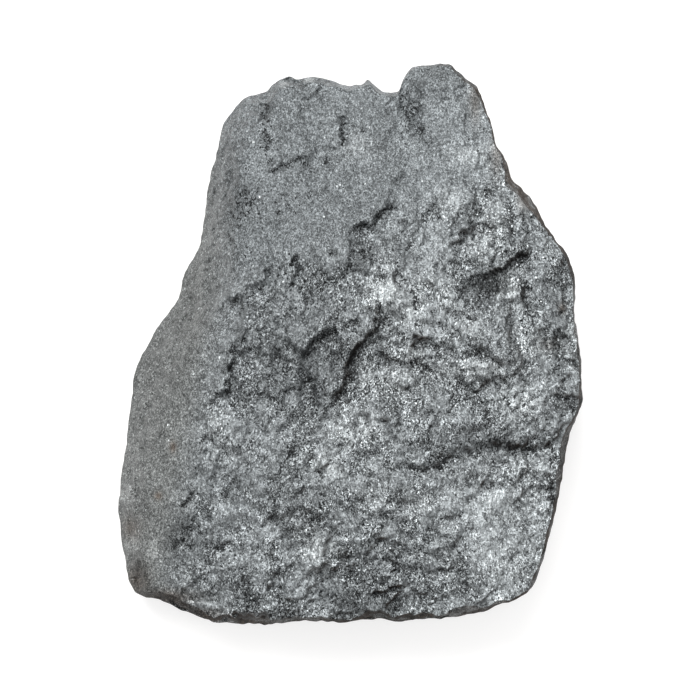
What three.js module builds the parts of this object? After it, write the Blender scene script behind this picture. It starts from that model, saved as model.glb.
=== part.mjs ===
// Hand specimen of massive specular hematite: one broken lump of steel-grey iron ore on a flat underside.
// Millimetres, +Z up. The origin lies on the resting surface, under the middle of the stone's box.
//
// The upper face is laid out as it is seen from LOOK_ELEVATION above the horizon: x runs to the right and
// y runs up the picture plane. Every seen point also has a height z above the resting surface, and
// planY() turns the seen y and that height into the plan.
import * as THREE from "three";
import { mergeGeometries, mergeVertices } from "three/addons/utils/BufferGeometryUtils.js";

// Driving dimensions
const LOOK_ELEVATION = THREE.MathUtils.degToRad(80);
const HEART = [0, -2]; // seen point that the outline is drawn in towards
const GRID = 60; // cells across the upper face, each way
const EDGE_CROWDING = 1.25; // above 1 the cells crowd towards the outline
const FLANK_ROWS = 4; // rows of cells from the widest outline down to the underside
const UNDERCUT = 1.6; // least distance that the flat underside stays inside the outline
const UNDERCUT_SHARE = 0.4; // and what each millimetre of rim height adds to it
const EDGE_EASE = 1.1; // how softly neighbouring facets of the broad form meet
const SMOOTH_WEST = 0.35; // share of the roughness that the smooth western flank keeps
const FLANK_ROUGHNESS = 1.8; // how deep the dents in the flanks and the southern wall go
const RAGGED = 0.9; // how far the ledge lines wander
const RAGGED_SPAN = 4.5; // and over what distance
const CHIP = 4.6; // size of the flat chips that the break leaves
const CHIP_TILT = 0.2; // their steepest lean
const CHIP_SEAM = 0.7; // width over which neighbouring chips meet

// The widest outline as it is seen, counter-clockwise from the eastern tip: [x, y]
const OUTLINE = [
  [33.1, -8.0], [32.9, -3.0], [32.1, 2.7], [32.1, 7.3], [31.7, 10.6], [30.4, 13.4], [28.6, 15.6],
  [27.1, 18.3], [25.9, 20.3], [24.3, 22.3], [23.0, 23.3], [22.1, 26.3], [20.9, 28.4], [20.1, 31.7],
  [19.0, 34.6], [17.9, 36.9], [15.9, 38.4], [14.1, 39.9], [11.4, 39.7], [9.1, 39.5], [7.7, 37.9],
  [6.9, 36.0], [5.4, 35.9], [4.0, 36.4], [2.7, 37.5], [1.6, 36.9], [-0.7, 36.9], [-2.9, 37.6],
  [-5.4, 38.1], [-7.3, 37.6], [-8.6, 38.1], [-10.3, 37.6], [-12.0, 36.1], [-14.6, 35.1], [-16.4, 33.9],
  [-18.0, 31.3], [-19.0, 27.7], [-20.3, 22.0], [-21.0, 17.4], [-21.7, 13.7], [-23.4, 10.3], [-24.6, 6.6],
  [-26.7, 3.3], [-28.6, 0.6], [-30.3, -3.4], [-31.3, -7.7], [-31.9, -13.7], [-33.0, -22.3], [-32.7, -26.6],
  [-32.0, -31.1], [-30.4, -35.4], [-26.4, -36.6], [-23.6, -38.1], [-18.3, -39.7], [-12.1, -39.9],
  [-5.4, -39.3], [-1.4, -39.7], [3.6, -39.1], [6.4, -39.4], [12.9, -39.1], [18.6, -38.3], [21.4, -37.0],
  [24.6, -35.9], [26.3, -33.6], [27.9, -29.0], [29.3, -23.4], [30.1, -18.7], [30.9, -14.6], [32.1, -10.9],
];

// The edge all round, at bearings in degrees from the heart: height of the outline, and how far inside it
// the upper face starts to turn down
const EDGE = [
  { bearing: 0, rim: 8.0, shoulder: 2.2 },
  { bearing: 32, rim: 8.5, shoulder: 2.0 },
  { bearing: 55, rim: 9.5, shoulder: 2.2 },
  { bearing: 70, rim: 10.5, shoulder: 2.5 },
  { bearing: 84, rim: 10.0, shoulder: 2.0 },
  { bearing: 102, rim: 9.5, shoulder: 2.5 },
  { bearing: 116, rim: 7.5, shoulder: 6.0 },
  { bearing: 145, rim: 5.0, shoulder: 8.0 },
  { bearing: 180, rim: 3.5, shoulder: 8.0 },
  { bearing: 215, rim: 3.0, shoulder: 6.0 },
  { bearing: 230, rim: 2.0, shoulder: 2.2 },
  { bearing: 250, rim: 1.8, shoulder: 1.9 },
  { bearing: 263, rim: 2.0, shoulder: 1.0 },
  { bearing: 282, rim: 1.8, shoulder: 1.8 },
  { bearing: 305, rim: 2.0, shoulder: 1.2 },
  { bearing: 325, rim: 2.2, shoulder: 1.3 },
  { bearing: 346, rim: 6.0, shoulder: 1.8 },
];

// Broad form: fracture planes, each through a seen point at a height, falling towards a bearing.
// The face follows the lowest of them.
const FACETS = [
  { at: [4, 0], z: 21.5, towards: 290, slope: 3 },
  { at: [-15, 4], z: 20.5, towards: 172, slope: 34 },
  { at: [-2, 22], z: 20.0, towards: 98, slope: 20 },
  { at: [17, 24], z: 19.5, towards: 40, slope: 17 },
  { at: [23, 2], z: 20.5, towards: 5, slope: 15 },
  { at: [3, -20], z: 19.0, towards: 262, slope: 14 },
  { at: [-17, -22], z: 17.0, towards: 222, slope: 24 },
  { at: [24, -25], z: 17.5, towards: 315, slope: 18 },
];

// Ledges of the hackly break, drawn so that the high side is on the left of the line's run.
// drop is the step's height, fall its width, reach how far its swell runs out on both sides.
const LEDGES = [
  { drop: 1.9, fall: 0.9, reach: 5, line: [[-1.4, 15.4], [1.7, 16.3], [4.0, 17.7], [7.1, 19.9]] },
  { drop: 1.5, fall: 1.0, reach: 4, line: [[-3.6, 7.7], [-1.7, 8.4], [-0.6, 10.3], [-0.4, 12.3], [0.4, 14.9]] },
  { drop: 1.3, fall: 1.0, reach: 4, line: [[-9.3, 6.7], [-8.4, 8.4], [-7.6, 10.6], [-7.3, 13.1]] },
  { drop: 2.6, fall: 1.2, reach: 5, line: [[18.3, 8.4], [20.3, 9.9], [23.1, 11.9], [25.0, 13.0], [26.9, 14.4]] },
  {
    drop: 3.0,
    fall: 1.2,
    reach: 6,
    line: [[-3.4, -9.4], [-1.4, -7.3], [-0.6, -4.6], [0.7, -2.0], [2.3, 0.3], [3.6, 2.7], [3.2, 6.3]],
  },
  { drop: 1.5, fall: 1.0, reach: 3, line: [[-7.1, -2.6], [-5.7, -0.4], [-4.3, 1.0], [-2.4, 1.6], [-1.3, 0.6]] },
  {
    drop: 1.8,
    fall: 1.4,
    reach: 4,
    line: [[-21.0, -10.1], [-19.3, -8.3], [-17.4, -6.6], [-16.3, -4.0], [-16.1, -0.9], [-15.6, 2.0]],
  },
  {
    drop: 2.3,
    fall: 2.6,
    reach: 6,
    line: [[6.4, -18.0], [10.0, -18.0], [12.9, -16.3], [16.4, -14.9], [20.0, -14.3], [24.3, -15.0], [27.9, -13.7]],
  },
  { drop: 1.4, fall: 1.2, reach: 4, line: [[2.1, -0.9], [5.7, -2.0], [8.6, -2.6], [11.4, -3.7], [13.1, -5.4]] },
  { drop: 1.1, fall: 1.0, reach: 3, line: [[15.0, -1.1], [17.1, -1.1], [20.3, -1.0]] },
  { drop: 1.2, fall: 1.0, reach: 3, line: [[17.1, -6.9], [18.3, -5.4], [21.4, -4.9], [23.9, -3.4]] },
  { drop: 1.3, fall: 1.2, reach: 4, line: [[2.6, -36.3], [5.0, -35.1], [8.6, -34.3]] },
  { drop: 1.1, fall: 1.2, reach: 4, line: [[-13.6, -25.3], [-9.7, -24.6], [-7.1, -23.7], [-2.1, -24.6]] },
  { drop: 1.3, fall: 1.6, reach: 4, line: [[-26.4, -30.1], [-24.3, -27.3], [-22.1, -24.4], [-20.4, -20.9]] },
  { drop: 1.2, fall: 1.0, reach: 3, line: [[-1.1, 27.4], [-0.7, 29.1], [-1.0, 31.0], [0.9, 31.1]] },
  { drop: 1.1, fall: 1.0, reach: 4, line: [[16.4, 13.4], [17.1, 17.0], [16.3, 19.9]] },
  { drop: 1.0, fall: 1.2, reach: 4, line: [[25.0, 2.0], [24.7, 6.3], [24.3, 9.9]] },
];

// Furrows: narrow clefts with a depth and a width
const FURROWS = [
  { depth: 1.4, width: 1.4, line: [[6.1, 36.6], [8.6, 33.1], [10.7, 29.4], [12.1, 26.3]] },
  { depth: 1.2, width: 1.1, line: [[-6.4, -2.3], [-6.0, -5.1], [-5.3, -8.0], [-3.6, -9.7]] },
  { depth: 0.9, width: 1.1, line: [[-12.6, 26.3], [-11.9, 28.9], [-12.3, 30.9], [-12.0, 34.0]] },
  { depth: 1.0, width: 1.2, line: [[28.6, -6.6], [29.4, -4.0], [30.0, -0.9], [30.4, 2.0]] },
];

// Lumps stand up and pits, with a negative rise, sink: seen centre, half sizes, turn in degrees, rise
const LUMPS = [
  { at: [-3.4, -4.0], half: [1.9, 4.2], turn: -8, rise: 1.3 },
  { at: [19.6, 7.0], half: [1.9, 1.6], turn: 30, rise: -1.3 },
  { at: [14.0, 36.0], half: [4.5, 3.5], turn: 0, rise: 1.0 },
  { at: [-5.0, 36.5], half: [5.0, 2.5], turn: 0, rise: 0.8 },
  { at: [18.0, -2.9], half: [4.5, 1.3], turn: 5, rise: 0.8 },
  { at: [6.0, -7.0], half: [5.0, 4.0], turn: 20, rise: 1.0 },
  { at: [-18.5, -14.5], half: [3.0, 4.0], turn: -30, rise: 0.9 },
  { at: [-4.5, -29.5], half: [3.5, 3.0], turn: 0, rise: 0.9 },
  { at: [7.0, 6.0], half: [4.0, 3.5], turn: -30, rise: 0.8 },
  { at: [27.0, -10.0], half: [3.5, 2.5], turn: 40, rise: 0.8 },
];

// Roughness of the break: wavelength and height of each layer
const ROUGHNESS = [
  { span: 12, height: 1.6 },
  { span: 6, height: 0.9 },
  { span: 3, height: 0.45 },
];

const { clamp, degToRad, euclideanModulo, lerp, smoothstep } = THREE.MathUtils;
const planY = (y, z) => (y - z * Math.cos(LOOK_ELEVATION)) / Math.sin(LOOK_ELEVATION);

// A repeatable number from 0 to 1 for a lattice point
function chance(i, j, seed) {
  const turned = Math.sin(i * 127.1 + j * 311.7 + seed * 74.7) * 43758.5453;
  return turned - Math.floor(turned);
}

// Smooth noise from -0.5 to 0.5 that repeats nowhere
function noise(x, y, seed) {
  const i = Math.floor(x);
  const j = Math.floor(y);
  const u = smoothstep(x - i, 0, 1);
  const v = smoothstep(y - j, 0, 1);
  const low = lerp(chance(i, j, seed), chance(i + 1, j, seed), u);
  const high = lerp(chance(i, j + 1, seed), chance(i + 1, j + 1, seed), u);
  return lerp(low, high, v) - 0.5;
}

const outline = new THREE.CatmullRomCurve3(
  OUTLINE.map(([x, y]) => new THREE.Vector3(x, y, 0)),
  true,
  "catmullrom",
);

// A line of seen points as short straight runs along a smooth curve
const RUNS_PER_SPAN = 4;
const smoothLine = (line) =>
  new THREE.CatmullRomCurve3(line.map(([x, y]) => new THREE.Vector3(x, y, 0)), false, "catmullrom")
    .getPoints(RUNS_PER_SPAN * (line.length - 1));

// Distance from a point to a line, positive on its left, and a fade that closes both ends
function beside(points, x, y) {
  let nearest = { distance: Infinity, side: 1, along: 0 };
  let run = 0;
  for (let k = 1; k < points.length; k++) {
    const [a, b] = [points[k - 1], points[k]];
    const [dx, dy] = [b.x - a.x, b.y - a.y];
    const length = Math.hypot(dx, dy);
    const share = clamp(((x - a.x) * dx + (y - a.y) * dy) / (length * length), 0, 1);
    const [ex, ey] = [x - a.x - share * dx, y - a.y - share * dy];
    const distance = Math.hypot(ex, ey);
    if (distance < nearest.distance) {
      nearest = { distance, side: Math.sign(dx * ey - dy * ex) || 1, along: run + share * length };
    }
    run += length;
  }
  const taper = 0.3 * run;
  const fade = smoothstep(nearest.along, 0, taper) * smoothstep(run - nearest.along, 0, taper);
  return { signed: nearest.side * nearest.distance, fade };
}

const ledges = LEDGES.map((ledge) => ({ ...ledge, points: smoothLine(ledge.line) }));
const furrows = FURROWS.map((furrow) => ({ ...furrow, points: smoothLine(furrow.line) }));

// The lowest fracture plane, with the edges between planes eased
function broadForm(x, y) {
  let sum = 0;
  for (const { at, z, towards, slope } of FACETS) {
    const bearing = degToRad(towards);
    const away = (x - at[0]) * Math.cos(bearing) + (y - at[1]) * Math.sin(bearing);
    sum += Math.exp(-(z - Math.tan(degToRad(slope)) * away) / EDGE_EASE);
  }
  return -EDGE_EASE * Math.log(sum);
}

// A ledge swells up to its lip, drops, and runs back to the broad form
function ledgeRelief(x, y) {
  let relief = 0;
  for (const { points, drop, fall, reach } of ledges) {
    const { signed, fade } = beside(points, x, y);
    const upper = smoothstep(signed, -fall / 2, fall / 2) - 0.5;
    relief += drop * upper * Math.exp(-Math.abs(signed) / reach) * fade;
  }
  return relief;
}

function furrowRelief(x, y) {
  let relief = 0;
  for (const { points, depth, width } of furrows) {
    const { signed, fade } = beside(points, x, y);
    relief -= depth * Math.exp(-((signed / width) ** 2)) * fade;
  }
  return relief;
}

function lumpRelief(x, y) {
  let relief = 0;
  for (const { at, half, turn, rise } of LUMPS) {
    const [c, s] = [Math.cos(degToRad(turn)), Math.sin(degToRad(turn))];
    const u = ((x - at[0]) * c + (y - at[1]) * s) / half[0];
    const v = ((y - at[1]) * c - (x - at[0]) * s) / half[1];
    relief += rise * Math.exp(-(u * u + v * v));
  }
  return relief;
}

// The western flank, left of a line up the face, is smoother than the rest
const westward = (x, y) => x + 18.8 - 0.18 * y;

// Flat chips: each point of a jittered lattice leans its own way, and its cell takes that lean
function chips(x, y) {
  const [ci, cj] = [Math.floor(x / CHIP), Math.floor(y / CHIP)];
  const near = [];
  for (let i = ci - 1; i <= ci + 1; i++) {
    for (let j = cj - 1; j <= cj + 1; j++) {
      const dx = x - (i + chance(i, j, 31)) * CHIP;
      const dy = y - (j + chance(i, j, 32)) * CHIP;
      const lean = (chance(i, j, 33) - 0.5) * dx + (chance(i, j, 34) - 0.5) * dy;
      near.push({ distance: Math.hypot(dx, dy), height: 2 * CHIP_TILT * lean });
    }
  }
  near.sort((a, b) => a.distance - b.distance);
  const share = 0.5 + 0.5 * smoothstep(near[1].distance - near[0].distance, 0, CHIP_SEAM);
  return lerp(near[1].height, near[0].height, share);
}

function roughness(x, y) {
  const share = lerp(SMOOTH_WEST, 1, smoothstep(westward(x, y), -3, 3));
  const waves = ROUGHNESS.reduce((sum, { span, height }, k) => sum + height * noise(x / span, y / span, k), 0);
  return (waves + chips(x, y)) * share;
}

// Height of the broken face above the resting surface at a seen point
function faceHeight(x, y) {
  const wanderX = x + RAGGED * noise(x / RAGGED_SPAN, y / RAGGED_SPAN, 11);
  const wanderY = y + RAGGED * noise(x / RAGGED_SPAN, y / RAGGED_SPAN, 12);
  const relief = ledgeRelief(wanderX, wanderY) + furrowRelief(wanderX, wanderY) + lumpRelief(x, y);
  return broadForm(x, y) + relief + roughness(x, y);
}

// Rim height and shoulder width at a bearing, eased from one station of EDGE to the next
function edgeAt(bearing) {
  const next = EDGE.findIndex((station) => station.bearing > bearing);
  const b = EDGE[next < 0 ? 0 : next];
  const a = EDGE[(next < 0 ? EDGE.length : next) - 1];
  const span = euclideanModulo(b.bearing - a.bearing, 360);
  const share = smoothstep(euclideanModulo(bearing - a.bearing, 360) / span, 0, 1);
  return { rim: lerp(a.rim, b.rim, share), shoulder: lerp(a.shoulder, b.shoulder, share) };
}

// The unit square, -1 to 1 each way, laid over the outline: its border is the outline itself
function facePoint(u, v) {
  const across = u * Math.sqrt(1 - (v * v) / 2);
  const up = v * Math.sqrt(1 - (u * u) / 2);
  const share = 1 - (1 - Math.min(1, Math.hypot(across, up))) ** EDGE_CROWDING;
  const edge = outline.getPointAt(euclideanModulo(Math.atan2(up, across) / (2 * Math.PI), 1));
  const [ex, ey] = [edge.x - HEART[0], edge.y - HEART[1]];
  const bearing = euclideanModulo(THREE.MathUtils.radToDeg(Math.atan2(ey, ex)), 360);
  const { rim, shoulder } = edgeAt(bearing);
  const [x, y] = [HEART[0] + share * ex, HEART[1] + share * ey];
  const width = shoulder * (1 + 0.6 * noise(edge.x / 4, edge.y / 4, 22));
  const inside = clamp(((1 - share) * Math.hypot(ex, ey)) / width, 0, 1);
  const turned = Math.sin((inside * Math.PI) / 2);
  const z = lerp(rim, Math.max(faceHeight(x, y), rim), turned);
  const facing = clamp((-1.4 * ey) / Math.hypot(ex, ey), 0, 1); // 1 along the steep southern wall
  const dent = FLANK_ROUGHNESS * facing * noise(x / 4, z / 3, 23) * Math.sin(Math.PI * inside);
  return new THREE.Vector3(x, planY(y, z) + dent, z);
}

// The square's border walked counter-clockwise from its lower right corner, once round for 0 to 1
function border(share) {
  const side = Math.floor(4 * share) % 4;
  const run = 2 * (4 * share - Math.floor(4 * share)) - 1;
  return [[1, run], [-run, 1], [-1, -run], [run, -1]][side];
}

// Below the outline the flank draws in to the flat underside: share is 1 at the outline and 0 at the foot
function flankPoint(turn, share) {
  const rim = facePoint(...border(turn));
  const inward = new THREE.Vector2(-rim.x, -rim.y).normalize();
  const bulge = 1 - Math.sqrt(1 - (1 - share) ** 2);
  const z = rim.z * share;
  const dent = FLANK_ROUGHNESS * noise((rim.x + z) / 3.5, (rim.y - z) / 3.5, 21) * Math.sin(Math.PI * share);
  const step = (UNDERCUT + UNDERCUT_SHARE * rim.z) * bulge + dent;
  return new THREE.Vector3(rim.x + inward.x * step, rim.y + inward.y * step, z);
}

// A sheet of quads whose points are placed by a function of its two parameters, 0 to 1 each way
function sheet(columns, rows, place) {
  const geometry = new THREE.PlaneGeometry(1, 1, columns, rows);
  const { position, uv } = geometry.attributes;
  for (let k = 0; k < position.count; k++) {
    position.setXYZ(k, ...place(uv.getX(k), uv.getY(k)));
  }
  geometry.deleteAttribute("normal");
  geometry.deleteAttribute("uv");
  return geometry;
}

const face = sheet(GRID, GRID, (a, b) => facePoint(2 * a - 1, 2 * b - 1));
const flank = sheet(4 * GRID, FLANK_ROWS, (a, b) => flankPoint(euclideanModulo(a, 1), b));

// The flat underside, facing down
function underside() {
  const foot = Array.from({ length: 4 * GRID }, (_, k) => flankPoint(k / (4 * GRID), 0));
  const geometry = new THREE.ShapeGeometry(new THREE.Shape(foot.map(({ x, y }) => new THREE.Vector2(x, y))));
  geometry.index.array.reverse();
  geometry.deleteAttribute("normal");
  geometry.deleteAttribute("uv");
  return geometry;
}

const stone = mergeVertices(mergeGeometries([face, flank, underside()]), 1e-3);
stone.computeBoundingBox();
const middle = stone.boundingBox.getCenter(new THREE.Vector3());
stone.translate(-middle.x, -middle.y, -stone.boundingBox.min.z);
stone.computeVertexNormals();

const hematite = new THREE.MeshStandardMaterial({
  color: 0x7f8384,
  roughness: 0.45,
  metalness: 0.85,
  flatShading: true,
});

const specimen = new THREE.Mesh(stone, hematite);
specimen.name = "hematite_stone";

const part = new THREE.Group();
part.add(specimen);

export default part;
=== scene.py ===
import bpy
import numpy as np
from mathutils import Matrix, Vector


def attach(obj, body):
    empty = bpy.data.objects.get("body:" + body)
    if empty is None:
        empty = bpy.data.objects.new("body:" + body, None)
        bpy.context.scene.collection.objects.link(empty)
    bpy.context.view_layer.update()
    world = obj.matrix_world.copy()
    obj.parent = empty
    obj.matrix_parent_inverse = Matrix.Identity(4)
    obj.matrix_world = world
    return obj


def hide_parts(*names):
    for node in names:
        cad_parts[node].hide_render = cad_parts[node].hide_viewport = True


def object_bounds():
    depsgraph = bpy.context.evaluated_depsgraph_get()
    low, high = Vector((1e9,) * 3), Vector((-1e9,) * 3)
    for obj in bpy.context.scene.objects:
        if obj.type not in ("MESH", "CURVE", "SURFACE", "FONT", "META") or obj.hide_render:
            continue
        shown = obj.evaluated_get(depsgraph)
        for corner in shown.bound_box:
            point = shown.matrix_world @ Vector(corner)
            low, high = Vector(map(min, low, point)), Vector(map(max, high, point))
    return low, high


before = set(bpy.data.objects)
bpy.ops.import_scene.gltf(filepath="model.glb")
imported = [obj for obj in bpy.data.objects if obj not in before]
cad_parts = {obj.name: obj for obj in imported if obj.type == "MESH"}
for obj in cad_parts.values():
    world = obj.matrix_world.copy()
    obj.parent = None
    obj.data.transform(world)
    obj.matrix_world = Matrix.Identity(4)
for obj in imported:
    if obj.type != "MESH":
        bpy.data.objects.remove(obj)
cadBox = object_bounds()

mm = 0.001  # the stone is worked out in millimetres and put into the mesh in metres
print("frame loaded, box", [round(v, 4) for corner in cadBox for v in corner])


def ease(t):
    # 3t^2 - 2t^3 between 0 and 1
    t = np.clip(t, 0, 1)
    return t * t * (3 - 2 * t)


def mix(a, b, t):
    # from a to b by the share t
    return a + (b - a) * t


def chance(i, j, seed):
    # the part after the point of a large sine of the lattice numbers: repeatable, from 0 to 1
    turned = np.sin(i * 127.1 + j * 311.7 + seed * 74.7) * 43758.5453
    return turned - np.floor(turned)


def noise(x, y, seed):
    # lattice values blended with eased weights, from -0.5 to 0.5
    i, j = np.floor(x), np.floor(y)
    u, v = ease(x - i), ease(y - j)
    low = mix(chance(i, j, seed), chance(i + 1, j, seed), u)
    high = mix(chance(i, j + 1, seed), chance(i + 1, j + 1, seed), u)
    return mix(low, high, v) - 0.5


def layered(x, y, layers):
    # noise of several wavelengths added up: wavelength, height, seed
    return sum(height * noise(x / span, y / span, seed) for span, height, seed in layers)


def chips(x, y, size, tilt, step, seam, seed):
    # each point of a jittered lattice has its own height and leans its own way, most of them up towards the
    # south-east; the nearest point's plane is taken, and halfway to the second nearest the two planes meet
    # over the width of a seam. The lattice is bent by noise, so that no seam is straight.
    # Gives the height, the chip's own tone from 0 to 1 and the distance to the next chip.
    wave = 0.45 * size
    wx = x + layered(x, y, [(wave, 0.6 * size, seed + 5), (wave / 3, 0.3 * size, seed + 6)])
    wy = y + layered(x, y, [(wave, 0.6 * size, seed + 7), (wave / 3, 0.3 * size, seed + 8)])
    ci, cj = np.floor(wx / size), np.floor(wy / size)
    near, far = np.full_like(x, 1e9), np.full_like(x, 1e9)
    nearHeight, farHeight, tone = np.zeros_like(x), np.zeros_like(x), np.zeros_like(x)
    for di in (-1, 0, 1):
        for dj in (-1, 0, 1):
            i, j = ci + di, cj + dj
            dx = wx - (i + chance(i, j, seed)) * size
            dy = wy - (j + chance(i, j, seed + 1)) * size
            lean = (chance(i, j, seed + 2) - 0.3) * dx + (chance(i, j, seed + 3) - 0.7) * dy
            height = 2 * tilt * lean + step * (chance(i, j, seed + 4) - 0.5)
            distance = np.hypot(dx, dy)
            first, second = distance < near, distance < far
            farHeight = np.where(first, nearHeight, np.where(second, height, farHeight))
            far = np.where(first, near, np.where(second, distance, far))
            nearHeight = np.where(first, height, nearHeight)
            tone = np.where(first, chance(i, j, seed + 9), tone)
            near = np.where(first, distance, near)
    return mix(farHeight, nearHeight, 0.5 + 0.5 * ease((far - near) / seam)), tone, far - near


def smoothLine(points, closed=False, perSpan=5):
    # cubic through the points, each slope half the step between its two neighbours
    p = np.array(points, float)
    if closed:
        p = np.vstack([p[-1:], p, p[:2]])
    else:
        p = np.vstack([2 * p[0] - p[1], p, 2 * p[-1] - p[-2]])
    p0, p1, p2, p3 = (p[k:len(p) - 3 + k, None, :] for k in range(4))
    t = np.linspace(0, 1, perSpan, endpoint=False)[None, :, None]
    m1, m2 = (p2 - p0) / 2, (p3 - p1) / 2
    curve = (2 * t**3 - 3 * t**2 + 1) * p1 + (t**3 - 2 * t**2 + t) * m1
    curve = curve + (3 * t**2 - 2 * t**3) * p2 + (t**3 - t**2) * m2
    return np.vstack([curve.reshape(-1, 2), p[-2:-1]])


def beside(line, x, y, taper=0.3):
    # distance to the nearest run of a line, positive on its left, and a fade that closes its ends
    points = smoothLine(line)
    best, side, along = np.full_like(x, 1e9), np.ones_like(x), np.zeros_like(x)
    run = 0.0
    for a, b in zip(points[:-1], points[1:]):
        d = b - a
        length = np.hypot(*d)
        share = np.clip(((x - a[0]) * d[0] + (y - a[1]) * d[1]) / length**2, 0, 1)
        ex, ey = x - a[0] - share * d[0], y - a[1] - share * d[1]
        distance = np.hypot(ex, ey)
        closer = distance < best
        side = np.where(closer, np.where(d[0] * ey - d[1] * ex < 0, -1.0, 1.0), side)
        along = np.where(closer, run + share * length, along)
        best = np.where(closer, distance, best)
        run += length
    return side * best, ease(along / (taper * run)) * ease((run - along) / (taper * run))


def spot(x, y, at, half, turn=0.0):
    # elliptical bell: 1 at its centre, 1/e at its half sizes
    c, s = np.cos(np.radians(turn)), np.sin(np.radians(turn))
    u = ((x - at[0]) * c + (y - at[1]) * s) / half[0]
    v = ((y - at[1]) * c - (x - at[0]) * s) / half[1]
    return np.exp(-(u * u + v * v))


def strongest(spots, x, y):
    # the highest of several bells: centre, half sizes, strength
    return np.max([strength * spot(x, y, at, half) for at, half, strength in spots], axis=0)


def shadow(away, layers):
    # exponentials of the distance added up, a narrow core and a wide fringe: weight, distance
    return sum(weight * np.exp(-away / distance) for weight, distance in layers)


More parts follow.
